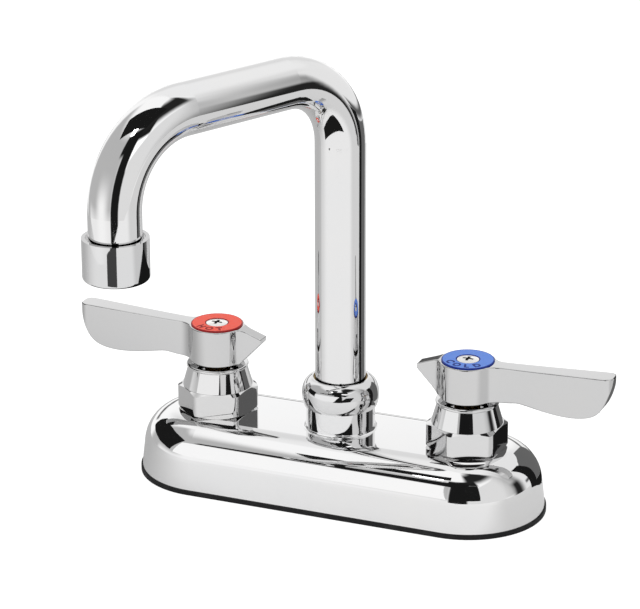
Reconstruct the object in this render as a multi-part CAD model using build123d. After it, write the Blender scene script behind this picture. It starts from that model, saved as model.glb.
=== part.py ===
from build123d import *
import math
import os

# Commercial deck-mount faucet: two quarter-turn ceramic valves on 4 inch centres and a
# swinging spout with two bends, on one cast body with a rubber gasket under it.
#
# Millimetres, +Z up. The origin is on the deck, on the axis of the spout post.
# +X points to the cold valve and the user stands at -Y.
# The levers are shut, pointing outwards, and the spout is swung towards the hot side.

# Layout
valve_spacing = 101.6  # 4 in between the two valve axes
spout_swing = 25.8  # degrees from straight forward towards the hot side
running_gap = 0.05  # radial clearance of every turning fit
thread_gap = 0.05  # radial clearance of fixed threads and spigots
face_gap = 0.02  # axial clearance between lapped or sliding faces

# Cast body
gasket_thick = 1.8
gasket_width = 60.3
gasket_lip = 0.5  # how far the gasket shows round the foot of the body
body_top = 25.0  # flat top of the body above the deck
body_draft = 6.5  # degrees, inward lean of the outer wall
body_crown = 14.0  # radius between the wall and the flat top
body_wall = 2.8
chamber_wall = 2.4  # round each valve chamber
waterway_bore = 3.1
waterway_wall = 2.2
post_radius = 13.1
post_height = 9.1  # shoulder of the spout post above the body
post_bore = 10.3
post_sump = 1.0  # floor of the post's bore below the waterway
post_blend = 1.2  # cast fillet round the post's foot
neck_radius = 12.0  # threaded neck on top of the post
neck_height = 6.6

# Shanks and their fastening under the deck
shank_radius = 10.4
shank_bore = 7.6
shank_hang = 52.0  # below the deck
shank_engage = 6.0  # screwed into the body
shank_chamfer = 0.6
deck_room = 4.0  # left between gasket and washer for the deck
washer_radius = 19.0
washer_thick = 1.6
locknut_flats = 32.0
locknut_thick = 7.0

# Seat, seal and discs of each valve, from the bottom upwards
seat_thick = 1.4  # floor under the seal
inlet_radius = 5.2
seal_radius = 7.6
seal_thick = 1.2
disc_radius = 8.0
disc_thick = 2.4
port_inner = 2.4
port_outer = 6.6
port_angle = 70.0
key_width = 2.4
key_depth = 0.5

# Cartridge housing
cup_wall = 1.0
water_gap = 1.2  # water space round the cup
window_height = 2.8
window_angle = 80.0
flange_drop = 7.0  # from the body's top down to the ledge under the flange
flange_thick = 2.6
flange_rim = 1.55  # how far the flange reaches past the water space
flange_groove = 1.6  # depth of the O-ring groove in the flange
guide_radius = 8.2
ring_groove = 2.0  # height of every O-ring groove

# Stem
stem_radius = 4.9
stem_groove = 1.3  # depth
stem_ring_drop = 6.0  # from one O-ring to the next
shoulder_radius = 6.2
shoulder_thick = 1.6
tang_width = 5.0
slot_width = 3.8  # driving slot across the moving disc
slot_depth = 1.0
spline_radius = 4.4
spline_depth = 0.6
spline_teeth = 16
clip_radius = 6.8
clip_thick = 0.8
clip_seat = 0.8  # depth of its groove
clip_mouth = 5.0

# Bonnet
hex_flats = 27.4
hex_height = 9.9
hex_chamfer = 30.0  # degrees from level
hex_bevel = 1.7  # width of the turned chamfer at a corner
hex_round = 3.0  # radius of the polished upright corners
hot_hex_turn = -9.7
cold_hex_turn = -5.6
cone_foot = 13.4
cone_head = 11.3
cone_height = 7.4
lip_radius = 11.9
lip_height = 1.5
bonnet_bore = 8.5
bonnet_mouth = 6.2
bonnet_roof = 2.2
clip_room = 1.2  # between the cartridge's guide and the bonnet's roof

# Handle
handle_gap = 1.1  # between bonnet and hub
hub_radius = 10.5
hub_height = 14.1
hub_recess = 2.2
hub_wall = 2.4
handle_web = 1.2  # between the splined socket and the index seat
lever_length = 56.5
lever_rise = 1.9  # of the top edge, from hub to tip
lever_root = 5.8  # thickness beside the hub
lever_end = 8.2  # thickness near the tip
lever_corner = 2.8
waist_reach = 21.8  # where the lower edge is highest, from the valve's axis
waist_rise = 1.0  # above the hub's foot
belly_back = 11.0  # lowest place of the lower edge, from the tip
belly_drop = 0.8  # below the hub's foot
heel_back = 5.5
heel_rise = 1.55
chin_back = 1.4
chin_rise = 8.7
fin_length = 19.2
fin_thick = 5.4
fin_drop = 3.1  # of the fin's point below the hub's top
fin_nose = 1.8  # height of the fin's blunt end
lever_blend = 6.0
fin_blend = 4.5
handle_edge = 0.4

# Index ring and handle screw
index_radius = 9.9
index_seat = 0.7
index_proud = 0.6
index_hole = 4.25
index_chamfer = 0.22
screw_head = 4.1
screw_rim = 0.95  # straight side of the head
screw_dome = 0.9
screw_radius = 1.95
screw_length = 9.5
screw_hole_spare = 1.0  # hole below the screw's end

# Spout
tube_radius = 9.525
tube_wall = 1.2
tube_socket = 7.5  # depth of the brazed joint at the tube's foot
spout_reach = 105.0
spout_top = 164.9  # centre line of the level arm
riser_bend = 27.2
outlet_bend = 30.8
outlet_height = 109.8  # mouth above the deck
sleeve_depth = 14.0  # swivel sleeve below the neck's top
sleeve_bore = 7.2
sleeve_groove = 1.5  # depth
sleeve_ring_foot = 2.0  # lower O-ring above the sleeve's end
sleeve_ring_drop = 4.0  # from one O-ring to the next
thrust_thick = 0.8
sleeve_flange = 11.2
sleeve_flange_thick = 1.0

# Spout nut
nut_gap = 0.3  # between the nut and the post's shoulder
nut_height = 10.8
nut_foot = 13.9
nut_belly = 14.65
nut_belly_rise = 3.7
nut_shoulder = 13.5
nut_shoulder_rise = 8.6
nut_crown = 10.9
nut_mouth = 10.3

# Aerator
aerator_radius = 11.9
aerator_height = 15.4
aerator_edge = 1.4
aerator_mouth = 8.2
aerator_lip = 1.1
rim_bore = 10.5
rim_depth = 1.2
screen_thick = 0.4
screen_pitch = 2.0
screen_hole = 1.3
insert_thick = 2.2
insert_hole = 0.8
insert_pitch = 2.7
aerator_washer_thick = 1.1

# Heights and radii that follow from the sizes above
half_spacing = valve_spacing / 2
foot_radius = gasket_width / 2 - gasket_lip
shank_top = gasket_thick + shank_engage
seat_height = shank_top + seat_thick
washer_top = -deck_room
locknut_top = washer_top - washer_thick
cup_inner = disc_radius + running_gap
cup_outer = cup_inner + cup_wall
cavity_radius = cup_outer + water_gap
flange_radius = cavity_radius + flange_rim
socket_radius = flange_radius + thread_gap
chamber_radius = socket_radius + chamber_wall
ledge_height = body_top - flange_drop
flange_bottom = ledge_height + face_gap
flange_top = flange_bottom + flange_thick
flange_middle = (flange_bottom + flange_top) / 2
fixed_bottom = seat_height + seal_thick
fixed_top = fixed_bottom + disc_thick
moving_bottom = fixed_top + face_gap
moving_top = moving_bottom + disc_thick
cup_roof = flange_bottom + shoulder_thick / 2
tang_top = cup_roof - shoulder_thick
hex_top = body_top + hex_height
cone_top = hex_top + cone_height
bonnet_top = cone_top + lip_height
bonnet_ceiling = bonnet_top - bonnet_roof
guide_top = bonnet_ceiling - clip_room
hub_foot = bonnet_top + handle_gap
hub_top = hub_foot + hub_height
index_bottom = hub_top - index_seat
web_bottom = index_bottom - handle_web
socket_foot = hub_foot + hub_recess
stem_bore = stem_radius + running_gap
stem_root = stem_radius - stem_groove
post_top = body_top + post_height
neck_top = post_top + neck_height
nut_bottom = post_top + nut_gap
nut_top = nut_bottom + nut_height
thrust_top = neck_top + thrust_thick
sleeve_shoulder = thrust_top + face_gap
sleeve_top = sleeve_shoulder + sleeve_flange_thick
sleeve_bottom = neck_top - sleeve_depth
sleeve_outer = post_bore - running_gap
sleeve_root = sleeve_outer - sleeve_groove
tube_foot = sleeve_top - tube_socket
tube_socket_radius = tube_radius + face_gap
waterway_height = (seat_height + ledge_height) / 2
waterway_outer = waterway_bore + waterway_wall
post_bore_floor = waterway_height - waterway_bore - post_sump
post_floor = post_bore_floor - waterway_wall
aerator_top = outlet_height + aerator_height
screen_bottom = outlet_height + aerator_lip
insert_bottom = screen_bottom + screen_thick
aerator_washer_bottom = insert_bottom + insert_thick
tube_end = aerator_washer_bottom + aerator_washer_thick
aerator_bore = tube_radius + thread_gap


def ring(outer, inner, bottom, top):
    """Upright ring between two heights, or a plain cylinder where inner is 0."""
    base = (Align.CENTER, Align.CENTER, Align.MIN)
    solid = Cylinder(outer, top - bottom, align=base)
    if inner > 0:
        solid -= Cylinder(inner, top - bottom, align=base)
    return Pos(0, 0, bottom) * solid


def turned(outline):
    """Solid of revolution about Z from a closed outline: x is the radius, y the height."""
    return revolve(Plane.XZ * make_face(outline), Axis.Z, 360)


def turned_groove(solid, root, outer, middle):
    """Cut an O-ring groove round a solid of the given outer radius."""
    half = ring_groove / 2
    return solid - ring(outer * 2, root, middle - half, middle + half)


def seal_ring(inner, outer, height):
    """O-ring that fills the space between two radii."""
    wire = (outer - inner) / 2
    return Pos(0, 0, height) * Torus(inner + wire, wire)


def hexagon_bar(flats, bottom, top, turn):
    """Hexagonal bar, with one pair of flats square to X before it is turned."""
    outline = RegularPolygon(flats / 2, 6, major_radius=False, rotation=30 + turn)
    return Pos(0, 0, bottom) * extrude(outline, top - bottom)


def polished_hexagon(flats, rounding):
    """Plan of a hexagon with rounded corners, and the radius that its corners reach."""
    outline = RegularPolygon(flats / 2, 6, major_radius=False, rotation=30)
    reach = flats / 2 / math.cos(math.radians(30))
    cut = rounding / math.cos(math.radians(30)) - rounding
    return fillet(outline.vertices(), rounding), reach - cut


def sector(inner, outer, angle, facing):
    """Flat sector between two radii, centred on a direction."""
    reach = outer * 2
    half = math.radians(angle / 2)
    low = (reach, -reach * math.tan(half))
    high = (reach, reach * math.tan(half))
    wedge = Polygon((0, 0), low, high, align=None)
    return Rot(0, 0, facing) * (wedge & (Circle(outer) - Circle(inner)))


def stadium(section):
    """Solid of stadium plan from its half section: x outwards from the valves' line, y upwards."""
    side = Plane((0, 0, 0), x_dir=(0, -1, 0), z_dir=(-1, 0, 0))
    end = revolve(side * section, Axis.Z, 180)
    whole = section + mirror(section, Plane.YZ)
    middle = Pos(half_spacing, 0, 0) * extrude(side * whole, valve_spacing)
    cold_end = Pos(half_spacing, 0, 0) * end
    hot_end = Pos(-half_spacing, 0, 0) * Rot(0, 0, 180) * end
    return middle + cold_end + hot_end


def wall_section(inset, bottom, top, crown):
    """Half section of the body's outside, or of its hollow where inset is the wall."""
    lean = math.tan(math.radians(body_draft))
    foot = foot_radius - inset
    head = foot - (top - bottom) * lean
    face = make_face(Polyline((0, bottom), (foot, bottom), (head, top), (0, top), close=True))
    corner = face.vertices().sort_by_distance((head, top))[0]
    return fillet(corner, crown)


def on_level(edge, height):
    """True for a level edge at a height."""
    return abs(edge.center().Z - height) < face_gap


def at_valves(solid):
    """The same solid on both valve axes."""
    return Pos(-half_spacing, 0, 0) * solid + Pos(half_spacing, 0, 0) * solid


def waterway(radius):
    """Level cylinder from one valve to the other."""
    return Pos(0, 0, waterway_height) * Rot(0, 90, 0) * Cylinder(radius, valve_spacing)


def make_body():
    """Cast body: hollow shell, two valve chambers, spout post and the waterway between them."""
    shell = stadium(wall_section(0, gasket_thick, body_top, body_crown))
    ceiling = body_top - body_wall
    shell -= stadium(wall_section(body_wall, gasket_thick, ceiling, body_crown - body_wall))
    chamber = ring(chamber_radius, 0, gasket_thick, ceiling + body_wall / 2)
    post = ring(post_radius, 0, post_floor, post_top) + ring(neck_radius, 0, post_top, neck_top)
    body = shell + at_valves(chamber) + waterway(waterway_outer) + post
    rings = [edge for edge in body.edges().filter_by(GeomType.CIRCLE) if on_level(edge, body_top)]
    foot = [edge for edge in rings if abs(edge.radius - post_radius) < running_gap]
    body = fillet(foot, post_blend)
    valve_bore = ring(shank_radius + thread_gap, 0, gasket_thick, shank_top)
    valve_bore += ring(inlet_radius, 0, shank_top, seat_height)
    valve_bore += ring(cavity_radius, 0, seat_height, ledge_height)
    valve_bore += ring(socket_radius, 0, ledge_height, body_top)
    spout_bore = ring(post_bore, 0, post_bore_floor, neck_top)
    return body - at_valves(valve_bore) - waterway(waterway_bore) - spout_bore


def make_gasket():
    """Rubber sheet of the body's plan, with a hole for each shank."""
    half = Pos(gasket_width / 4, gasket_thick / 2) * Rectangle(gasket_width / 2, gasket_thick)
    return stadium(half) - at_valves(ring(shank_radius + gasket_lip, 0, 0, gasket_thick))


def make_shank():
    """Straight threaded supply shank."""
    shank = ring(shank_radius, shank_bore, -shank_hang, shank_top)
    rims = shank.edges().filter_by(GeomType.CIRCLE).sort_by(Axis.Z)[0:2]
    return chamfer(rims, shank_chamfer)


def make_washer():
    """Flat mounting washer."""
    return ring(washer_radius, shank_radius + thread_gap, locknut_top, washer_top)


def make_locknut():
    """Hexagonal mounting nut, chamfered on its lower side."""
    bottom = locknut_top - locknut_thick
    flat = locknut_flats / 2
    corner = flat / math.cos(math.radians(30))
    drop = (corner - flat) * math.tan(math.radians(hex_chamfer))
    blank = turned(
        Polyline(
            (0, bottom),
            (flat, bottom),
            (corner, bottom + drop),
            (corner, locknut_top),
            (0, locknut_top),
            close=True,
        )
    )
    nut = hexagon_bar(locknut_flats, bottom, locknut_top, 0) & blank
    return nut - ring(shank_radius + thread_gap, 0, bottom, locknut_top)


def make_seat_seal():
    """Rubber seal between the seat and the fixed disc."""
    return ring(seal_radius, inlet_radius, seat_height, fixed_bottom)


def ports(bottom, facing):
    """The two opposite ports through a disc."""
    pair = sector(port_inner, port_outer, port_angle, facing)
    pair += sector(port_inner, port_outer, port_angle, facing + 180)
    return Pos(0, 0, bottom) * extrude(pair, disc_thick)


def key_bars(width, reach, depth):
    """Two bars at the sides of the fixed disc, from a radius inwards by a depth."""
    bars = Part()
    for side in (-1, 1):
        middle = side * (reach - depth / 2)
        bars += Pos(0, middle, (fixed_bottom + fixed_top) / 2) * Box(width, depth, disc_thick)
    return bars


def make_fixed_disc():
    """Lower ceramic disc: two ports, and two key notches in its rim."""
    disc = ring(disc_radius, 0, fixed_bottom, fixed_top) - ports(fixed_bottom, 0)
    notch_width = key_width + 2 * running_gap
    return disc - key_bars(notch_width, disc_radius + running_gap, key_depth + 2 * running_gap)


def make_moving_disc():
    """Upper ceramic disc: its ports are a quarter turn from the lower ones, and a slot drives it."""
    disc = ring(disc_radius, 0, moving_bottom, moving_top) - ports(moving_bottom, 90)
    slot = Box(disc_radius * 2, slot_width, slot_depth * 2)
    return disc - Pos(0, 0, moving_top) * slot


def make_cartridge():
    """Cartridge housing: cup round the discs, water windows, clamped flange and guide for the stem."""
    housing = turned(
        Polyline(
            (cup_inner, fixed_bottom),
            (cup_outer, fixed_bottom),
            (cup_outer, flange_bottom),
            (flange_radius, flange_bottom),
            (flange_radius, flange_top),
            (guide_radius, flange_top),
            (guide_radius, guide_top),
            (stem_bore, guide_top),
            (stem_bore, cup_roof),
            (cup_inner, cup_roof),
            close=True,
        )
    )
    housing = turned_groove(housing, flange_radius - flange_groove, flange_radius, flange_middle)
    for facing in (90, 270):
        window = extrude(sector(disc_radius, cavity_radius, window_angle, facing), window_height)
        housing -= Pos(0, 0, flange_bottom - window_height) * window
    return housing + key_bars(key_width, cup_inner + cup_wall / 2, key_depth + cup_wall / 2)


def make_bonnet_seal():
    """O-ring in the groove of the cartridge's flange."""
    return seal_ring(flange_radius - flange_groove, flange_radius, flange_middle)


def make_bonnet(turn):
    """Hexagonal bonnet with a cone and a beaded lip, screwed into the valve chamber."""
    outline, corner = polished_hexagon(hex_flats, hex_round)
    rim = corner - hex_bevel
    drop = hex_bevel * math.tan(math.radians(hex_chamfer))
    blank = turned(
        Polyline(
            (0, body_top),
            (rim, body_top),
            (corner, body_top + drop),
            (corner, hex_top - drop),
            (rim, hex_top),
            (0, hex_top),
            close=True,
        )
    )
    bar = Pos(0, 0, body_top) * Rot(0, 0, turn) * extrude(outline, hex_height)
    nut = bar & blank
    round_lip = lip_height / 2
    lip_flat = lip_radius - round_lip
    dome = turned(
        Polyline((lip_flat, bonnet_top), (0, bonnet_top), (0, hex_top), (cone_foot, hex_top))
        + Polyline((cone_foot, hex_top), (cone_head, cone_top), (lip_flat, cone_top))
        + ThreePointArc(
            (lip_flat, cone_top), (lip_radius, cone_top + round_lip), (lip_flat, bonnet_top)
        )
    )
    skirt = ring(socket_radius - thread_gap, 0, flange_top + face_gap, body_top)
    bonnet = nut + dome + skirt
    bonnet -= ring(bonnet_bore, 0, flange_top, bonnet_ceiling)
    return bonnet - ring(bonnet_mouth, 0, bonnet_ceiling, bonnet_top)


def stem_ring_heights():
    """Middles of the two O-ring grooves on the stem."""
    upper = guide_top - stem_ring_drop
    return (upper - stem_ring_drop, upper)


def spline_bar(radius, bottom, top):
    """Splined bar: straight-sided teeth round a core."""
    root = radius - spline_depth
    tooth_width = math.pi * root / spline_teeth
    tooth = Rectangle(spline_depth * 2, tooth_width)
    outline = Circle(root) + PolarLocations(root, spline_teeth) * tooth
    return Pos(0, 0, bottom) * extrude(outline & Circle(radius), top - bottom)


def make_stem():
    """Stem: driving tang, retaining shoulder, two O-ring grooves, clip groove and splined head."""
    tang_reach = disc_radius - 2 * running_gap
    tang = Rectangle(tang_reach * 2, tang_width) & Circle(tang_reach)
    key = Rectangle(tang_reach * 2, slot_width - 2 * running_gap) & Circle(tang_reach)
    stem = Pos(0, 0, moving_top) * extrude(tang, tang_top - moving_top)
    stem += Pos(0, 0, moving_top - slot_depth) * extrude(key, slot_depth)
    stem += ring(shoulder_radius, 0, tang_top, cup_roof - face_gap)
    stem += ring(stem_radius, 0, tang_top, socket_foot)
    head_top = web_bottom - face_gap
    stem += spline_bar(spline_radius, socket_foot, head_top)
    for middle in stem_ring_heights():
        stem = turned_groove(stem, stem_root, stem_radius, middle)
    clip_bottom = guide_top + face_gap
    clip_groove = ring(stem_radius * 2, stem_radius - clip_seat, clip_bottom, clip_bottom + clip_thick)
    hole_bottom = index_bottom - screw_length - screw_hole_spare
    screw_hole = ring(screw_radius + thread_gap, 0, hole_bottom, head_top)
    return stem - clip_groove - screw_hole


def make_stem_seals():
    """Two O-rings on the stem."""
    lower, upper = stem_ring_heights()
    return seal_ring(stem_root, stem_radius, lower) + seal_ring(stem_root, stem_radius, upper)


def make_clip():
    """Open snap ring on the stem, above the cartridge's guide."""
    bottom = guide_top + face_gap
    clip = ring(clip_radius, stem_radius - clip_seat, bottom, bottom + clip_thick)
    mouth = Box(clip_radius * 2, clip_mouth, clip_thick * 2)
    return clip - Pos(-clip_radius, 0, bottom + clip_thick / 2) * mouth


def handle_plan():
    """Plan of the handle: hub, paddle towards +X and fin towards -X, blended into the hub."""
    root = lever_root / 2
    end = lever_end / 2
    paddle = make_face(
        Polyline((0, -root), (lever_length, -end), (lever_length, end), (0, root), close=True)
    )
    paddle = fillet(paddle.vertices().sort_by(Axis.X)[-2:], lever_corner)
    fin = Pos(-fin_length / 2, 0) * Rectangle(fin_length, fin_thick)
    plan = Circle(hub_radius) + paddle + fin
    reach = hub_radius + handle_edge
    corners = [v for v in plan.vertices() if math.hypot(v.X, v.Y) < reach and v.X > 0]
    plan = fillet(corners, lever_blend)
    corners = [v for v in plan.vertices() if math.hypot(v.X, v.Y) < reach and v.X < 0]
    return fillet(corners, fin_blend)


def handle_side():
    """Side view of the handle: x outwards from the valve's axis, y upwards."""
    tip = (lever_length, hub_top + lever_rise)
    fin_top = hub_top - fin_drop
    top = Spline((0, hub_top), tip, tangents=((1, 0), (lever_length, lever_rise)))
    low = Spline(
        tip,
        (lever_length - chin_back, hub_foot + chin_rise),
        (lever_length - heel_back, hub_foot + heel_rise),
        (lever_length - belly_back, hub_foot - belly_drop),
        (waist_reach, hub_foot + waist_rise),
        (0, hub_foot),
        tangents=((0, -1), (-1, 0)),
    )
    rest = Polyline(
        (0, hub_foot),
        (-hub_radius, hub_foot),
        (-fin_length, fin_top - fin_nose),
        (-fin_length, fin_top),
        (-hub_radius, hub_top),
        (0, hub_top),
    )
    return make_face(top + low + rest)


def is_upright(edge):
    """True for an edge that runs straight up."""
    return edge.geom_type == GeomType.LINE and abs(edge.tangent_at(0).Z) > 0.99


def make_handle():
    """Cast lever handle: hub over the bonnet, paddle, fin, splined socket and index seat."""
    plan = extrude(handle_plan(), hub_top + hub_height)
    side = extrude(Plane.XZ * handle_side(), hub_radius * 2, both=True)
    handle = plan & side
    handle = fillet([edge for edge in handle.edges() if not is_upright(edge)], handle_edge)
    handle -= ring(hub_radius - hub_wall, 0, hub_foot, socket_foot)
    handle -= spline_bar(spline_radius + running_gap, socket_foot, web_bottom)
    handle -= ring(screw_radius + running_gap, 0, web_bottom, index_bottom)
    return handle - ring(index_radius + running_gap, 0, index_bottom, hub_top + hub_height)


def make_index():
    """Coloured index ring, set into the hub's top."""
    disc = ring(index_radius, index_hole, index_bottom, hub_top + index_proud)
    rims = disc.edges().filter_by(GeomType.CIRCLE).sort_by(Axis.Z)[-2:]
    return chamfer(rims, index_chamfer)


def make_handle_screw():
    """Screw that holds the index ring and the handle to the stem."""
    rim_top = index_bottom + screw_rim
    crown = rim_top + screw_dome
    head = turned(
        Polyline((0, crown), (0, index_bottom), (screw_head, index_bottom), (screw_head, rim_top))
        + RadiusArc((screw_head, rim_top), (0, crown), -dome_radius(screw_head, screw_dome))
    )
    return head + ring(screw_radius, 0, index_bottom - screw_length, index_bottom)


def dome_radius(half_width, rise):
    """Radius of the arc over a dome."""
    return (half_width**2 + rise**2) / (2 * rise)


def spout_path():
    """Centre line of the tube: up, round, level, round and down, with the arm along +X."""
    corners = ((0, tube_foot), (0, spout_top), (spout_reach, spout_top), (spout_reach, tube_end))
    return Plane.XZ * FilletPolyline(*corners, radius=(riser_bend, outlet_bend))


def swung(solid):
    """Turn a piece of the spout from +X to where the spout stands at rest."""
    return Rot(0, 0, -90 - spout_swing) * solid


def at_outlet(solid):
    """Move a piece from the origin's axis to the outlet's axis."""
    return swung(Pos(spout_reach, 0, 0) * solid)


def make_tube():
    """Bent tube of the spout, open at both ends."""
    path = spout_path()
    section = Circle(tube_radius) - Circle(tube_radius - tube_wall)
    return swung(sweep(Plane(path @ 0, z_dir=path % 0) * section, path=path))


def sleeve_ring_heights():
    """Middles of the two O-ring grooves on the swivel sleeve."""
    lower = sleeve_bottom + sleeve_ring_foot
    return (lower, lower + sleeve_ring_drop)


def make_ferrule():
    """Swivel sleeve brazed to the tube's foot, with a flange and two O-ring grooves."""
    sleeve = ring(sleeve_outer, sleeve_bore, sleeve_bottom, sleeve_top)
    sleeve += ring(sleeve_flange, sleeve_bore, sleeve_shoulder, sleeve_top)
    sleeve -= ring(tube_socket_radius, 0, tube_foot, sleeve_top)
    for middle in sleeve_ring_heights():
        sleeve = turned_groove(sleeve, sleeve_root, sleeve_outer, middle)
    return sleeve


def make_spout_seals():
    """Two O-rings on the swivel sleeve."""
    lower, upper = sleeve_ring_heights()
    return seal_ring(sleeve_root, sleeve_outer, lower) + seal_ring(sleeve_root, sleeve_outer, upper)


def make_thrust_washer():
    """Plastic washer between the neck and the sleeve's flange."""
    return ring(sleeve_flange, sleeve_outer + running_gap, neck_top, thrust_top)


def make_spout_nut():
    """Barrel-shaped nut, screwed on the neck, that traps the sleeve's flange."""
    wall = Spline(
        (nut_foot, nut_bottom),
        (nut_belly, nut_bottom + nut_belly_rise),
        (nut_shoulder, nut_bottom + nut_shoulder_rise),
        (nut_crown, nut_top),
    )
    inside = Polyline((nut_crown, nut_top), (0, nut_top), (0, nut_bottom), (nut_foot, nut_bottom))
    nut = turned(wall + inside)
    nut -= ring(neck_radius + thread_gap, 0, nut_bottom, sleeve_top + running_gap)
    return nut - ring(nut_mouth, 0, sleeve_top, nut_top)


def make_aerator_shell():
    """Collar screwed on the outlet, with an inward lip at its mouth and a stepped rim on top."""
    shell = ring(aerator_radius, 0, outlet_height, aerator_top)
    foot = shell.edges().filter_by(GeomType.CIRCLE).sort_by(Axis.Z)[0]
    shell = fillet(foot, aerator_edge)
    shell -= ring(aerator_mouth, 0, outlet_height, screen_bottom)
    shell -= ring(aerator_bore, 0, screen_bottom, aerator_top)
    return at_outlet(shell - ring(rim_bore, 0, aerator_top - rim_depth, aerator_top))


def make_aerator_screen():
    """Steel screen that lies on the lip of the collar."""
    half = aerator_mouth - screen_hole
    count = int(half / screen_pitch)
    disc = Circle(tube_radius)
    hole = Rectangle(screen_hole, screen_hole)
    for row in range(-count, count + 1):
        for column in range(-count, count + 1):
            x = row * screen_pitch
            y = column * screen_pitch
            if math.hypot(x, y) < half:
                disc -= Pos(x, y) * hole
    return at_outlet(Pos(0, 0, screen_bottom) * extrude(disc, screen_thick))


def make_aerator_insert():
    """Flow straightener: a thick plastic disc with rings of round holes."""
    disc = Circle(tube_radius) - Circle(insert_hole)
    for number in (1, 2):
        disc -= PolarLocations(number * insert_pitch, number * 6) * Circle(insert_hole)
    return at_outlet(Pos(0, 0, insert_bottom) * extrude(disc, insert_thick))


def make_aerator_washer():
    """Rubber washer that the tube's end presses on the flow straightener."""
    washer = ring(tube_radius, tube_radius - tube_wall, aerator_washer_bottom, tube_end)
    return at_outlet(washer)


def on_cold(solid):
    """Move a piece from the origin's axis to the cold valve."""
    return Pos(half_spacing, 0, 0) * solid


def on_hot(solid):
    """Move a piece to the hot valve, turned so that its lever points outwards too."""
    return Pos(-half_spacing, 0, 0) * Rot(0, 0, 180) * solid


valve_pieces = {
    "shank": make_shank(),
    "washer": make_washer(),
    "locknut": make_locknut(),
    "seat_seal": make_seat_seal(),
    "fixed_disc": make_fixed_disc(),
    "moving_disc": make_moving_disc(),
    "cartridge": make_cartridge(),
    "bonnet_seal": make_bonnet_seal(),
    "stem": make_stem(),
    "stem_seals": make_stem_seals(),
    "stem_clip": make_clip(),
    "handle": make_handle(),
    "index": make_index(),
    "handle_screw": make_handle_screw(),
}
pieces = {
    "base_body": make_body(),
    "deck_gasket": make_gasket(),
    "hot_bonnet": on_hot(make_bonnet(hot_hex_turn)),
    "cold_bonnet": on_cold(make_bonnet(cold_hex_turn)),
    "spout_tube": make_tube(),
    "spout_ferrule": make_ferrule(),
    "spout_seals": make_spout_seals(),
    "spout_thrust_washer": make_thrust_washer(),
    "spout_nut": make_spout_nut(),
    "aerator_shell": make_aerator_shell(),
    "aerator_screen": make_aerator_screen(),
    "aerator_insert": make_aerator_insert(),
    "aerator_washer": make_aerator_washer(),
}
for name, solid in valve_pieces.items():
    pieces["hot_" + name] = on_hot(solid)
    pieces["cold_" + name] = on_cold(solid)

os.makedirs("parts", exist_ok=True)
for name, solid in pieces.items():
    export_step(solid, "parts/" + name + ".step")
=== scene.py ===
import bmesh
import bpy
import math
from mathutils import Matrix, Vector


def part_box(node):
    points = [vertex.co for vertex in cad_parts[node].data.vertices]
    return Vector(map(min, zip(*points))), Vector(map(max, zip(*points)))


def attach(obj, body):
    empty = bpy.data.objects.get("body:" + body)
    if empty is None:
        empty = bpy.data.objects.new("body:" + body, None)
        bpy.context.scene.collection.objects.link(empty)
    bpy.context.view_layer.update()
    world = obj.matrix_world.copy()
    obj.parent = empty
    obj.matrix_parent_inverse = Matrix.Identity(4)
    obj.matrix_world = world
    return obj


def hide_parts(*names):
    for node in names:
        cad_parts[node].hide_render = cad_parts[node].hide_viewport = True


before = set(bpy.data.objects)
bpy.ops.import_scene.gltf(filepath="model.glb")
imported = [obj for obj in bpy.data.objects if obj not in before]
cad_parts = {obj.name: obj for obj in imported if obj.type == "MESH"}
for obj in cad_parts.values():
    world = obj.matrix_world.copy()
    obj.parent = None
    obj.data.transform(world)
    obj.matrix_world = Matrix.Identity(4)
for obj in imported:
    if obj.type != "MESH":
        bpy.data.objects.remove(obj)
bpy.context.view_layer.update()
MM = 0.001
SIDES = ("hot", "cold")
COLOUR = {"hot": "red", "cold": "blue"}
WHITE = (1, 1, 1, 1)

# Camera, fitted to the photograph
PHOTO_WIDTH = 640
FOCAL_PIXELS = 3000
SENSOR = 36.0
AZIMUTH = math.radians(22.47)
ELEVATION = math.radians(20.48)
ROLL = math.radians(-0.16)
DISTANCE = 1146.4 * MM
AIM_RIGHT = 7.85 * MM
AIM_UP = -69.22 * MM
CLIP_START = 10 * MM


def place(name, data):
    """New object with this name and data, in the scene."""
    made = bpy.data.objects.new(name, data)
    bpy.context.scene.collection.objects.link(made)
    return made


def make_camera():
    across = Vector((math.cos(AZIMUTH), math.sin(AZIMUTH), 0))
    flat = math.cos(ELEVATION)
    back = Vector((math.sin(AZIMUTH) * flat, -math.cos(AZIMUTH) * flat, math.sin(ELEVATION)))
    above = back.cross(across)
    right = across * math.cos(ROLL) + above * math.sin(ROLL)
    up = above * math.cos(ROLL) - across * math.sin(ROLL)
    eye = back * DISTANCE - right * AIM_RIGHT - up * AIM_UP
    data = bpy.data.cameras.new("camera")
    data.sensor_width = SENSOR
    data.lens = FOCAL_PIXELS / PHOTO_WIDTH * SENSOR
    data.clip_start = CLIP_START
    camera = place("camera", data)
    camera.matrix_world = Matrix.Translation(eye) @ Matrix((right, up, back)).transposed().to_4x4()
    bpy.context.scene.camera = camera


# Shader helpers

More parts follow.
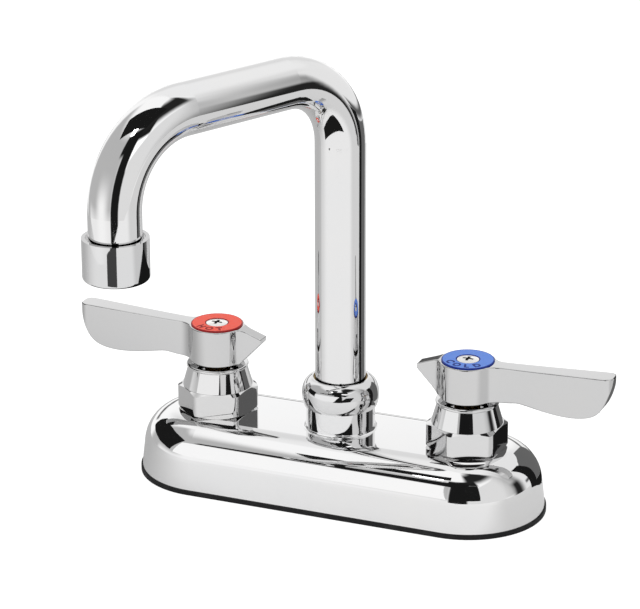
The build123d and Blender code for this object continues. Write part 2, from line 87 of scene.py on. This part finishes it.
class Nodes:
    """Short names for building a node tree."""

    def __init__(self, tree):
        self.tree = tree

    def add(self, kind, inputs=None, **settings):
        node = self.tree.nodes.new("ShaderNode" + kind)
        for name, value in settings.items():
            setattr(node, name, value)
        for name, value in (inputs or {}).items():
            self.feed(node.inputs[name], value)
        return node

    def feed(self, socket, value):
        if isinstance(value, bpy.types.NodeSocket):
            self.tree.links.new(value, socket)
        else:
            socket.default_value = value

    def math(self, operation, *values):
        return self.add("Math", dict(enumerate(values)), operation=operation).outputs[0]

    def length(self, x, y):
        squares = self.math("ADD", self.math("POWER", x, 2.0), self.math("POWER", y, 2.0))
        return self.math("SQRT", squares)

    def step(self, value, low, high, low_to=0.0, high_to=1.0):
        """Smooth change from low_to to high_to as value goes from low to high."""
        inputs = {"Value": value, "From Min": low, "From Max": high, "To Min": low_to, "To Max": high_to}
        return self.add("MapRange", inputs, interpolation_type="SMOOTHSTEP").outputs[0]

    def noise(self, coordinates, scale, detail=2.0, roughness=0.5):
        inputs = {"Vector": coordinates, "Scale": scale, "Detail": detail, "Roughness": roughness}
        return self.add("TexNoise", inputs).outputs["Fac"]

    def blend(self, share, first, second):
        return self.add("Mix", {0: share, 6: first, 7: second}, data_type="RGBA").outputs[2]

    def shift(self, coordinates, offset):
        return self.add("VectorMath", {0: coordinates, 1: offset}, operation="SUBTRACT").outputs[0]

    def stretch(self, coordinates, factors):
        return self.add("VectorMath", {0: coordinates, 1: factors}, operation="MULTIPLY").outputs[0]

    def bump(self, height, strength, distance, under=None):
        node = self.add("Bump", {"Height": height, "Strength": strength, "Distance": distance})
        if under is not None:
            self.feed(node.inputs["Normal"], under)
        return node.outputs["Normal"]

    def azimuth(self, x, y):
        """Degrees about the faucet's axis, from the user's side towards the cold valve."""
        return self.math("DEGREES", self.math("ARCTAN2", x, self.math("MULTIPLY", y, -1.0)))


class Surface(Nodes):
    """A Principled material that is being built."""

    def __init__(self, name, **values):
        self.made = bpy.data.materials.new(name)
        self.made.use_nodes = True
        super().__init__(self.made.node_tree)
        self.shader = self.tree.nodes["Principled BSDF"]
        self.here = self.add("TexCoord").outputs["Object"]
        self.set(**values)

    def set(self, **values):
        """Give inputs of the shader, written with _ for each space, a value or a link."""
        for name, value in values.items():
            self.feed(self.shader.inputs[name.replace("_", " ")], value)


def tinted(colour, factor, lift=0.0):
    return tuple(min(1.0, part * factor + lift) for part in colour[:3]) + (1,)


PLATE_COOL = (0.785, 0.79, 0.80)
PLATE_WARM = (0.82, 0.812, 0.805)
SCRATCHES_PER_GRAIN = 6


def chrome(name, wave, wave_scale, grain, shade=1.0):
    """Polished chrome plate: its tone, darkened by shade as painted shade, a faint haze, fine scratches and
    the slight waves of the metal.
    """
    skin = Surface(name, Metallic=1.0)
    tone = skin.noise(skin.here, scale=35.0, detail=3.0)
    haze = skin.noise(skin.stretch(skin.here, (1.0, 1.0, 0.35)), grain, detail=4.0, roughness=0.6)
    waves = skin.noise(skin.here, wave_scale, detail=1.0)
    scratches = skin.noise(skin.stretch(skin.here, (1.0, 1.0, 0.08)), grain * SCRATCHES_PER_GRAIN)
    skin.set(Base_Color=skin.blend(tone, tinted(PLATE_COOL, shade), tinted(PLATE_WARM, shade)))
    skin.set(Roughness=skin.step(haze, 0.35, 0.75, low_to=0.018, high_to=0.055))
    wavy = skin.bump(waves, strength=1.0, distance=wave)
    skin.set(Normal=skin.bump(scratches, strength=0.6, distance=0.0012 * MM, under=wavy))
    return skin.made


def turned_metal(name, light, dark, smooth, rough):
    """Unplated turned metal: lathe rings, patches of tarnish and fine pits."""
    skin = Surface(name, Metallic=1.0)
    tarnish = skin.noise(skin.here, scale=90.0, detail=5.0, roughness=0.65)
    rings = skin.noise(skin.stretch(skin.here, (0.1, 0.1, 1.0)), scale=900.0)
    worn = skin.math("ADD", tarnish, skin.math("MULTIPLY", rings, 0.5))
    skin.set(Base_Color=skin.blend(skin.step(tarnish, 0.35, 0.7), light, dark))
    skin.set(Roughness=skin.step(worn, 0.4, 1.1, low_to=smooth, high_to=rough))
    skin.set(Normal=skin.bump(rings, strength=0.5, distance=0.01 * MM))
    return skin.made


def rubber(name):
    skin = Surface(name, Specular_IOR_Level=0.15)
    bloom = skin.noise(skin.here, scale=120.0, detail=4.0)
    dusty = skin.step(bloom, 0.45, 0.8)
    skin.set(Base_Color=skin.blend(dusty, (0.012, 0.012, 0.013, 1), (0.035, 0.035, 0.036, 1)))
    skin.set(Roughness=skin.step(bloom, 0.3, 0.8, low_to=0.5, high_to=0.75))
    skin.set(Normal=skin.bump(skin.noise(skin.here, scale=2500.0), strength=0.5, distance=0.02 * MM))
    return skin.made


def plastic(name):
    skin = Surface(name)
    flow = skin.noise(skin.stretch(skin.here, (1.0, 1.0, 0.3)), scale=150.0, detail=3.0)
    skin.set(Base_Color=skin.blend(flow, (0.80, 0.80, 0.77, 1), (0.88, 0.88, 0.86, 1)))
    skin.set(Roughness=skin.step(flow, 0.3, 0.7, low_to=0.32, high_to=0.45))
    skin.set(Normal=skin.bump(skin.noise(skin.here, scale=1800.0), strength=0.4, distance=0.01 * MM))
    return skin.made


def ceramic(name):
    skin = Surface(name)
    speck = skin.noise(skin.here, scale=1400.0)
    gloss = skin.noise(skin.here, scale=200.0)
    specked = skin.step(speck, 0.5, 0.75)
    skin.set(Base_Color=skin.blend(specked, (0.93, 0.92, 0.88, 1), (0.80, 0.78, 0.72, 1)))
    skin.set(Roughness=skin.step(gloss, 0.3, 0.7, low_to=0.12, high_to=0.2))
    return skin.made


# Distances from the index ring's edges at which its printed lines end and are in full tone
OUTER_LINE_END = 0.55 * MM
OUTER_LINE_FULL = 0.4 * MM
INNER_LINE_FULL = 0.25 * MM
INNER_LINE_END = 0.45 * MM


def enamel(name, side, fill, rim):
    """Index ring: bright fill, a darker printed line along both edges and a faint mottle."""
    skin = Surface(name, Specular_IOR_Level=0.15)
    x, y, z = skin.add("SeparateXYZ", {"Vector": skin.shift(skin.here, (VALVE_X[side], 0, 0))}).outputs
    reach = skin.length(x, y)
    outer = skin.step(reach, INDEX_RADIUS - OUTER_LINE_END, INDEX_RADIUS - OUTER_LINE_FULL)
    inner = skin.step(reach, INDEX_HOLE + INNER_LINE_FULL, INDEX_HOLE + INNER_LINE_END, 1.0, 0.0)
    mottle = skin.noise(skin.here, scale=700.0, detail=3.0)
    paint = skin.blend(mottle, fill, tinted(fill, 1.15, lift=0.015))
    skin.set(Base_Color=skin.blend(skin.math("MAXIMUM", outer, inner), paint, rim))
    skin.set(Roughness=skin.step(mottle, 0.3, 0.7, low_to=0.3, high_to=0.45))
    skin.set(Normal=skin.bump(mottle, strength=0.3, distance=0.02 * MM))
    return skin.made


def ink(name, colour):
    """Paint of the letters, a little uneven."""
    skin = Surface(name, Specular_IOR_Level=0.1)
    patchy = skin.noise(skin.here, scale=1500.0, detail=3.0)
    skin.set(Base_Color=skin.blend(patchy, colour, tinted(colour, 0.7)))
    skin.set(Roughness=skin.step(patchy, 0.3, 0.7, low_to=0.35, high_to=0.5))
    return skin.made


def recess(name):
    """The cross recess of a screw: steel painted near black, as painted shade inside the recess, with the
    marks of the punch.
    """
    skin = Surface(name, Metallic=0.6)
    marks = skin.noise(skin.stretch(skin.here, (1.0, 1.0, 0.2)), scale=2600.0, detail=3.0)
    skin.set(Base_Color=skin.blend(marks, (0.03, 0.03, 0.032, 1), (0.075, 0.073, 0.07, 1)))
    skin.set(Roughness=skin.step(marks, 0.3, 0.7, low_to=0.4, high_to=0.6))
    skin.set(Normal=skin.bump(marks, strength=0.5, distance=0.02 * MM))
    return skin.made


# Sizes read from the CAD parts of model.glb

def centre_x(node):
    low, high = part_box(node)
    return ((low + high) / 2).x


def radius_of(node):
    low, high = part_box(node)
    return (high.x - low.x) / 2


VALVE_X = {side: centre_x(side + "_shank") for side in SIDES}
INDEX_RADIUS = radius_of("hot_index")
INDEX_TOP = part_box("hot_index")[1].z

# Sizes of holes, as in the solids
INDEX_HOLE = 4.25 * MM
SHANK_BORE = 7.6 * MM

# Finishes

RED = (0.84, 0.075, 0.038, 1)
RED_LINE = (0.33, 0.012, 0.012, 1)
BLUE = (0.085, 0.215, 0.68, 1)
BLUE_LINE = (0.008, 0.03, 0.26, 1)

finishes = {
    "cast": chrome("chrome_cast", wave=0.04 * MM, wave_scale=26.0, grain=420.0),
    "drawn": chrome("chrome_drawn", wave=0.02 * MM, wave_scale=18.0, grain=600.0),
    # A shade below 1 makes darker copies of the same chrome for the turned parts and the handles: painted
    # shade.
    "turned": chrome("chrome_turned", wave=0.012 * MM, wave_scale=60.0, grain=500.0, shade=0.88),
    "handle": chrome("chrome_handle", wave=0.03 * MM, wave_scale=30.0, grain=420.0, shade=0.78),
    "brass": turned_metal("brass_turned", (0.80, 0.60, 0.30, 1), (0.48, 0.31, 0.13, 1), 0.18, 0.42),
    "steel": turned_metal("steel_turned", (0.66, 0.66, 0.67, 1), (0.50, 0.50, 0.51, 1), 0.16, 0.34),
    "screw": turned_metal("screw_steel", (0.93, 0.92, 0.90, 1), (0.80, 0.79, 0.77, 1), 0.16, 0.34),
    "rubber": rubber("rubber_moulded"),
    "plastic": plastic("acetal_moulded"),
    "ceramic": ceramic("alumina_lapped"),
    "red": enamel("enamel_red", "hot", RED, RED_LINE),
    "blue": enamel("enamel_blue", "cold", BLUE, BLUE_LINE),
    # The recess finish is near black: painted shade inside the screws' cross recesses.
    "recess": recess("screw_recess_painted_shade"),
    "red ink": ink("ink_red", RED_LINE),
    "blue ink": ink("ink_blue", BLUE_LINE),
}

NODE_FINISH = {
    "base_body": "cast", "deck_gasket": "rubber", "spout_tube": "drawn", "spout_ferrule": "brass",
    "spout_seals": "rubber", "spout_thrust_washer": "plastic", "spout_nut": "turned",
    "aerator_shell": "turned", "aerator_screen": "steel", "aerator_insert": "plastic",
    "aerator_washer": "rubber",
}
VALVE_FINISH = {
    "shank": "brass", "washer": "steel", "locknut": "brass", "seat_seal": "rubber", "fixed_disc": "ceramic",
    "cartridge": "brass", "bonnet_seal": "rubber", "bonnet": "turned", "handle": "handle",
    "handle_screw": "steel", "stem": "brass", "stem_seals": "rubber", "moving_disc": "ceramic",
    "stem_clip": "steel",
}


def finish_nodes():
    chosen = dict(NODE_FINISH)
    for side in SIDES:
        chosen[side + "_index"] = COLOUR[side]
        for name, finish in VALVE_FINISH.items():
            chosen[side + "_" + name] = finish
    for name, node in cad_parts.items():
        for slot in node.material_slots:
            slot.material = finishes[chosen[name]]


# Mesh helpers

def piece(name, mesh, body, finish):
    """Piece of the faucet that rides a body and has one finish and one slot."""
    made = place(name, mesh)
    mesh.materials.clear()
    mesh.materials.append(finishes[finish])
    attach(made, body)
    return made


def mesh_data(name, built):
    """Mesh with this name from a finished bmesh."""
    data = bpy.data.meshes.new(name)
    built.to_mesh(data)
    built.free()
    return data


def applied(thing):
    """Mesh of an object after its modifiers, or of a text curve."""
    bpy.context.view_layer.update()
    return bpy.data.meshes.new_from_object(thing.evaluated_get(bpy.context.evaluated_depsgraph_get()))


def on_circle(axis_x, radius, angle, height):
    return axis_x + radius * math.cos(angle), radius * math.sin(angle), height


def circle(mesh, axis_x, radius, height, count):
    """Vertices of a level circle round a valve's axis."""
    angles = [2 * math.pi * k / count for k in range(count)]
    return [mesh.verts.new(on_circle(axis_x, radius, angle, height)) for angle in angles]


# Threaded supply shanks

THREAD_PITCH = 1.814 * MM
THREAD_DEPTH = 1.05 * MM
THREAD_RUN_OUT = 0.27 * MM
LEVELS_PER_TURN = 6
STEPS_PER_TURN = 48
TOOTH_HEIGHT = 1.25
TOOTH_SLOPE = 3.2


def tooth(phase):
    """Share of the thread's depth at a phase of 0 to 1 turn: a flank up, a flat crest and a flank down."""
    return min(1.0, max(0.0, TOOTH_HEIGHT - abs(phase - 0.5) * TOOTH_SLOPE))


def make_shank_piece(side):
    """Supply shank with its helical thread, bore and chamfered ends, in place of the plain CAD shank."""
    low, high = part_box(side + "_shank")
    root = radius_of(side + "_shank") - THREAD_DEPTH
    levels = int((high.z - low.z) / (THREAD_PITCH / LEVELS_PER_TURN))
    mesh = bmesh.new()
    rings = []
    for i in range(levels + 1):
        height = low.z + (high.z - low.z) * i / levels
        limit = root - THREAD_RUN_OUT + min(height - low.z, high.z - height)
        ring = []
        for k in range(STEPS_PER_TURN):
            turn = k / STEPS_PER_TURN
            radius = min(limit, root + THREAD_DEPTH * tooth((height / THREAD_PITCH - turn) % 1.0))
            ring.append(mesh.verts.new(on_circle(VALVE_X[side], radius, 2 * math.pi * turn, height)))
        rings.append(ring)
    for height in (high.z, low.z):
        rings.append(circle(mesh, VALVE_X[side], SHANK_BORE, height, STEPS_PER_TURN))
    rings.append(rings[0])
    for first, second in zip(rings, rings[1:]):
        for k in range(STEPS_PER_TURN):
            after = (k + 1) % STEPS_PER_TURN
            mesh.faces.new((first[k], first[after], second[after], second[k]))
    bmesh.ops.recalc_face_normals(mesh, faces=mesh.faces)
    name = side + "_shank_threaded"
    made = piece(name, mesh_data(name, mesh), "deck_body", "brass")
    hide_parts(side + "_shank")


# Cross-head screws

SCREW_SIDES = 64
SCREW_DOME = 0.4 * MM
SCREW_DOME_RINGS = 8
SCREW_PROUD = 0.25 * MM
SCREW_RIM = 0.95 * MM
SCREW_SHANK = 1.95 * MM
SCREW_EDGE = 0.1 * MM
RECESS_REACH = 2.2 * MM
RECESS_WIDTH = 1.15 * MM
RECESS_DEPTH = 1.5 * MM
RECESS_TAPER = 0.6


def lathe(mesh, axis_x, outline, count):
    """Solid turned from (radius, height) pairs that start and end on the axis."""
    rings = []
    for radius, height in outline:
        rings.append(circle(mesh, axis_x, radius, height, count if radius else 1))
    for first, second in zip(rings, rings[1:]):
        for k in range(count):
            after = (k + 1) % count
            corners = [first[k % len(first)], first[after % len(first)]]
            corners += [second[after % len(second)], second[k % len(second)]]
            mesh.faces.new(list(dict.fromkeys(corners)))
    bmesh.ops.recalc_face_normals(mesh, faces=mesh.faces)


def plus_outline(mesh, axis_x, reach, half, height):
    """Vertices of a level plus sign with arms of this reach and half width."""
    corners = []
    for quarter in range(4):
        turn = Matrix.Rotation(quarter * math.pi / 2, 3, "Z")
        for x, y in ((reach, -half), (reach, half), (half, half)):
            spot = turn @ Vector((x, y, 0))
            corners.append(mesh.verts.new((axis_x + spot.x, spot.y, height)))
    return corners


def cross_prism(mesh, axis_x, top, bottom):
    """Tapered plus-shaped cutter of a cross recess."""
    half = RECESS_WIDTH / 2
    upper = plus_outline(mesh, axis_x, RECESS_REACH, half, top)
    lower = plus_outline(mesh, axis_x, RECESS_REACH * RECESS_TAPER, half * RECESS_TAPER, bottom)
    mesh.faces.new(upper)
    mesh.faces.new(lower)
    for k in range(len(upper)):
        after = (k + 1) % len(upper)
        mesh.faces.new((upper[k], upper[after], lower[after], lower[k]))
    bmesh.ops.recalc_face_normals(mesh, faces=mesh.faces)


def make_screw_piece(side):
    """Domed screw with a cross recess, a little over its ring, in place of the plain CAD screw."""
    low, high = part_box(side + "_handle_screw")
    head = radius_of(side + "_handle_screw")
    axis_x = VALVE_X[side]
    top = min(high.z, INDEX_TOP + SCREW_PROUD)
    rim = top - SCREW_DOME
    seat = rim - SCREW_RIM
    sphere = (head ** 2 + SCREW_DOME ** 2) / (2 * SCREW_DOME)

    def dome(radius):
        return top - sphere + math.sqrt(sphere ** 2 - radius ** 2)

    outline = [(0, low.z), (SCREW_SHANK, low.z), (SCREW_SHANK, seat), (head - SCREW_EDGE, seat)]
    outline += [(head, seat + SCREW_EDGE), (head, rim)]
    for k in range(1, SCREW_DOME_RINGS + 1):
        radius = head * (1 - k / SCREW_DOME_RINGS)
        outline.append((radius, dome(radius)))
    mesh = bmesh.new()
    lathe(mesh, axis_x, outline, SCREW_SIDES)
    body = place("screw", mesh_data("screw", mesh))
    mesh = bmesh.new()
    cross_prism(mesh, axis_x, top + SCREW_EDGE, top - RECESS_DEPTH)
    cutter = place("cutter", mesh_data("cutter", mesh))
    cut = body.modifiers.new("recess", "BOOLEAN")
    cut.object = cutter
    cut.solver = "EXACT"
    cut_mesh = applied(body)
    for thing in (body, cutter):
        bpy.data.objects.remove(thing)
    made = piece(side + "_cross_screw", cut_mesh, side + "_valve", "screw")
    # Faces sunk in the cross recess get the near-black finish, as painted shade.
    cut_mesh.materials.append(finishes["recess"])
    for face in cut_mesh.polygons:
        out = math.hypot(face.center.x - axis_x, face.center.y)
        under = dome(out) - SCREW_EDGE
        sunk_and_painted_dark = out < RECESS_REACH and top - RECESS_DEPTH - SCREW_EDGE < face.center.z < under
        face.material_index = 1 if sunk_and_painted_dark else 0
        face.use_smooth = False
    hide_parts(side + "_handle_screw")


# Generic lettering on the index rings

LETTER_HEIGHT = 3.3 * MM
LETTER_WIDTH = 0.9
LETTER_MIDDLE = 7.15 * MM
LETTER_PROUD = 0.05 * MM
LETTER_TURN = math.radians(31)
LETTER_BOLD = 0.055
LETTER_THICK = 0.02
FACING_USER = math.radians(-90)


def letter_mesh(letter):
    curve = bpy.data.curves.new("letter", "FONT")
    curve.body = letter
    curve.size = 1.0
    curve.offset = LETTER_BOLD
    curve.extrude = LETTER_THICK
    holder = place("letter", curve)
    mesh = applied(holder)
    bpy.data.objects.remove(holder)
    return mesh


def make_lettering(side):
    """HOT or COLD along the front of the ring, facing the user, in paint a hair above the ring."""
    word = side.upper()
    whole = bmesh.new()
    for k, letter in enumerate(word):
        mesh = letter_mesh(letter)
        xs = [vertex.co.x for vertex in mesh.vertices]
        ys = [vertex.co.y for vertex in mesh.vertices]
        scale = LETTER_HEIGHT / (max(ys) - min(ys))
        centre = Vector(((max(xs) + min(xs)) / 2, (max(ys) + min(ys)) / 2, 0))
        angle = FACING_USER + (k - (len(word) - 1) / 2) * LETTER_TURN
        spot = Vector(on_circle(VALVE_X[side], LETTER_MIDDLE, angle, INDEX_TOP))
        flat = Matrix.Diagonal((scale * LETTER_WIDTH, scale, LETTER_PROUD / LETTER_THICK / 2, 1))
        turn = Matrix.Rotation(angle - FACING_USER, 4, "Z")
        mesh.transform(Matrix.Translation(spot) @ turn @ flat @ Matrix.Translation(-centre))
        whole.from_mesh(mesh)
    name = side + "_lettering"
    finish = COLOUR[side] + " ink"
    piece(name, mesh_data(name, whole), side + "_valve", finish)


# Studio: pale floor, plain soft light and the reflection cards of a product shot

FLOOR_SIZE = 8.0
FLOOR_GAP = 0.05 * MM
FLOOR_COLOUR = (0.5, 0.5, 0.5, 1)
FLOOR_ROUGHNESS = 0.9
FLOOR_SEEN = 0.75
FLOOR_MIRRORED = 0.5
DOME_RADIUS = 0.45
DOME_BRIGHTNESS = 1.15
DOME_SEGMENTS = 96
DOME_RINGS = 48
DOME_UNDER_FLOOR = 0.02
BLACK = 0.012

# The floor's glow in reflections, as a change of share between two azimuths in degrees. It is painted
# shade: dimmer towards the hot side and towards the cold side
HOT_SIDE_PAINTED_SHADE = {"low": -95.0, "high": -35.0, "low_to": 0.1, "high_to": 1.0}
COLD_SIDE_PAINTED_SHADE = {"low": 60.0, "high": 80.0, "low_to": 1.0, "high_to": 0.55}

# Cards on the dome: azimuth from the user's side towards the cold valve and elevation, in degrees
CARDS = (
    # name, centre azimuth, half width, low, high, brightness, soft edge, tilt
    ("high back", 175, 72, 56, 92, 1.02, 8, 0.0),
    ("low back", -158, 34, 30, 57, 0.86, 8, 0.0),
    ("left panel", -50, 52, -5, 58, 0.55, 6, 0.0),
    ("low glow", -35, 45, -8, 6, 1.0, 5, 0.0),
    ("left glow", -29, 15, -12, 24, 1.1, 13, 0.0),
    ("front opening", 15, 14, -5, 50, BLACK, 1.6, 0.0),
    ("front band", 20, 29, 44, 60, BLACK, 2.0, 0.0),
    ("star window", 37, 11, 28, 47, 1.7, 2.0, -0.2),
    ("right panel", 61, 34, -5, 46, 0.87, 2.0, 0.3),
    ("overhead flag right", 62, 34, 55, 84, 0.02, 7.0, 0.1),
    ("right grey", 110, 17, -8, 56, 0.30, 18, 0.0),
    ("right strip", 105, 10, -5, 26, 0.02, 5, 0.0),
    ("back panel", 145, 34, -5, 60, 0.95, 6.0, 0.0),
    ("back edge", 180, 62, 9, 14, 0.12, 2.0, 0.0),
)

# The usual slope of a leaning board is a little less steep than the camera's view
LEAN = math.tan(math.radians(18.5))


def leaning(heading, height, *plan, slope=LEAN):
    """Corners of a board that falls away in a heading from a height over the faucet's axis."""
    turn = math.radians(heading)
    return [(x, y, height - slope * (x * math.sin(turn) - y * math.cos(turn))) for x, y in plan]


def level(height, *plan):
    """Corners of a level board."""
    return [(x, y, height) for x, y in plan]


def upright(start, end, foot, top, drop=0):
    """Corners of an upright board over a line, whose end can be lower than its start."""
    return [(*start, foot), (*end, foot - drop), (*end, top - drop), (*start, top)]


# Boards near the faucet, in mm. Each is seen only from the side from which its corners run anticlockwise
BOARDS = (
    ("left flag", BLACK, *leaning(-90, 122, (-240, -140), (-240, 79), (-144, 41), (-106, -72), slope=0.3)),
    ("front reflector", 1.15, *leaning(-25, 102, (10, -240), (-190, -130), (-100, -66), (30, -89))),
    ("front flag", BLACK, *leaning(20, 89, (160, -136), (52, -175), (50, -65), (88, -50))),
    ("front strip", BLACK, *level(110, (-100, -102), (-95, -93), (90, -80), (90, -128))),
    ("outlet flag", 0.07, *upright((-32, -120), (-50, -207), 92, 120, drop=33)),
    ("elbow flag", BLACK, *leaning(0, 110, (-115, -100), (115, -100), (34, -30), (-34, -30), slope=0.6)),
    ("back flag", BLACK, *upright((137, 107), (148, 60), 0, 125)),
    ("back grey", 0.15, *upright((60, 165), (137, 107), 0, 115)),
    ("back floor flag", BLACK, *level(0.5, (80, 34), (150, 61), (138, 107), (68, 54))),
    ("back floor grey", 0.15, *level(0.5, (68, 54), (137, 107), (60, 165), (30, 85))),
    ("overhead flag", BLACK, *level(230, (-92, -84), (14, -84), (14, -126), (-92, -132))),
    ("star lamp", 6, *level(229, (-40, -125), (-24, -125), (-24, -140), (-40, -140))),
)


def stage_piece(name, mesh, made_of):
    """Part of the studio that only reflections see."""
    made = place(name, mesh)
    mesh.materials.append(made_of)
    made.visible_camera = False
    made.visible_diffuse = False
    made.visible_shadow = False


def emitter(name, one_sided=False):
    """Material that only shines, its nodes and the socket of its strength."""
    made = bpy.data.materials.new(name)
    made.use_nodes = True
    made.node_tree.nodes.clear()
    nodes = Nodes(made.node_tree)
    shine = nodes.add("Emission")
    light = shine.outputs[0]
    if one_sided:
        behind = nodes.add("NewGeometry").outputs["Backfacing"]
        clear = nodes.add("BsdfTransparent").outputs[0]
        light = nodes.add("MixShader", {0: behind, 1: light, 2: clear}).outputs[0]
    nodes.add("OutputMaterial", {"Surface": light})
    return made, nodes, shine.inputs["Strength"]


def card_mask(nodes, azimuth, elevation, centre, half, low, high, soft, tilt):
    """1 inside a card, 0 outside it and a soft change along its edges."""
    apart = nodes.math("WRAP", nodes.math("SUBTRACT", azimuth, centre), 180.0, -180.0)
    across = nodes.step(nodes.math("ABSOLUTE", apart), half - soft, half + soft, low_to=1.0, high_to=0.0)
    raised = nodes.math("SUBTRACT", elevation, nodes.math("MULTIPLY", apart, tilt))
    away = nodes.math("ABSOLUTE", nodes.math("SUBTRACT", raised, (low + high) / 2))
    reach = (high - low) / 2
    edge = min(soft, reach)
    along = nodes.step(away, reach - edge, reach + edge, low_to=1.0, high_to=0.0)
    return nodes.math("MULTIPLY", across, along)


def make_dome():
    made, nodes, strength = emitter("studio_cards")
    position = nodes.add("NewGeometry").outputs["Position"]
    x, y, z = nodes.add("SeparateXYZ", {"Vector": position}).outputs
    azimuth = nodes.azimuth(x, y)
    elevation = nodes.math("DEGREES", nodes.math("ARCTAN2", z, nodes.length(x, y)))
    value = DOME_BRIGHTNESS
    for name, centre, half, low, high, brightness, soft, tilt in CARDS:
        mask = card_mask(nodes, azimuth, elevation, centre, half, low, high, soft, tilt)
        mixed = nodes.add("Mix", {0: mask, 2: value, 3: brightness}, data_type="FLOAT", label=name)
        value = mixed.outputs[0]
    nodes.feed(strength, value)
    mesh = bmesh.new()
    bmesh.ops.create_uvsphere(mesh, u_segments=DOME_SEGMENTS, v_segments=DOME_RINGS, radius=DOME_RADIUS)
    below = [vertex for vertex in mesh.verts if vertex.co.z < -DOME_UNDER_FLOOR]
    bmesh.ops.delete(mesh, geom=below, context="VERTS")
    data = mesh_data("dome", mesh)
    for face in data.polygons:
        face.use_smooth = True
    stage_piece("studio_dome", data, made)


def make_board(name, brightness, corners):
    """Board that shines on one side and can't be seen from the other."""
    made, nodes, strength = emitter(name.replace(" ", "_"), one_sided=True)
    nodes.feed(strength, brightness)
    data = bpy.data.meshes.new(made.name)
    data.from_pydata([Vector(corner) * MM for corner in corners], [], [(0, 1, 2, 3)])
    stage_piece(made.name, data, made)


def make_floor():
    """Pale floor, plain to the camera. In reflections its glow fades towards both sides, as painted shade.
    """
    skin = Surface("floor", Base_Color=FLOOR_COLOUR, Roughness=FLOOR_ROUGHNESS, Specular_IOR_Level=0.0)
    path = skin.add("LightPath").outputs
    seen = skin.math("MULTIPLY", path["Is Camera Ray"], FLOOR_SEEN)
    shiny = skin.math("MAXIMUM", path["Is Glossy Ray"], path["Is Transmission Ray"])
    x, y, z = skin.add("SeparateXYZ", {"Vector": skin.here}).outputs
    azimuth = skin.azimuth(x, y)
    # Painted shade: the floor's glow in reflections dims towards the hot valve's side and the cold valve's
    # side.
    hot_side_painted_shade = skin.step(azimuth, **HOT_SIDE_PAINTED_SHADE)
    cold_side_painted_shade = skin.step(azimuth, **COLD_SIDE_PAINTED_SHADE)
    glow_with_painted_shade = skin.math("MULTIPLY", skin.math("MULTIPLY", hot_side_painted_shade, cold_side_painted_shade), FLOOR_MIRRORED)
    mirrored = skin.math("MULTIPLY", shiny, glow_with_painted_shade)
    skin.set(Emission_Color=WHITE, Emission_Strength=skin.math("MAXIMUM", seen, mirrored))
    half = FLOOR_SIZE / 2
    corners = level(-FLOOR_GAP, (-half, -half), (half, -half), (half, half), (-half, half))
    data = bpy.data.meshes.new("floor")
    data.from_pydata(corners, [], [(0, 1, 2, 3)])
    data.materials.append(skin.made)
    floor = place("floor", data)


def make_world():
    world = bpy.data.worlds.new("studio")
    world.use_nodes = True
    world.node_tree.nodes["Background"].inputs["Color"].default_value = WHITE
    bpy.context.scene.world = world


finish_nodes()
for side in SIDES:
    make_shank_piece(side)
    make_screw_piece(side)
    make_lettering(side)
make_dome()
for name, brightness, *corners in BOARDS:
    make_board(name, brightness, corners)
make_floor()
make_world()
make_camera()
bpy.context.scene.view_settings.view_transform = "Standard"
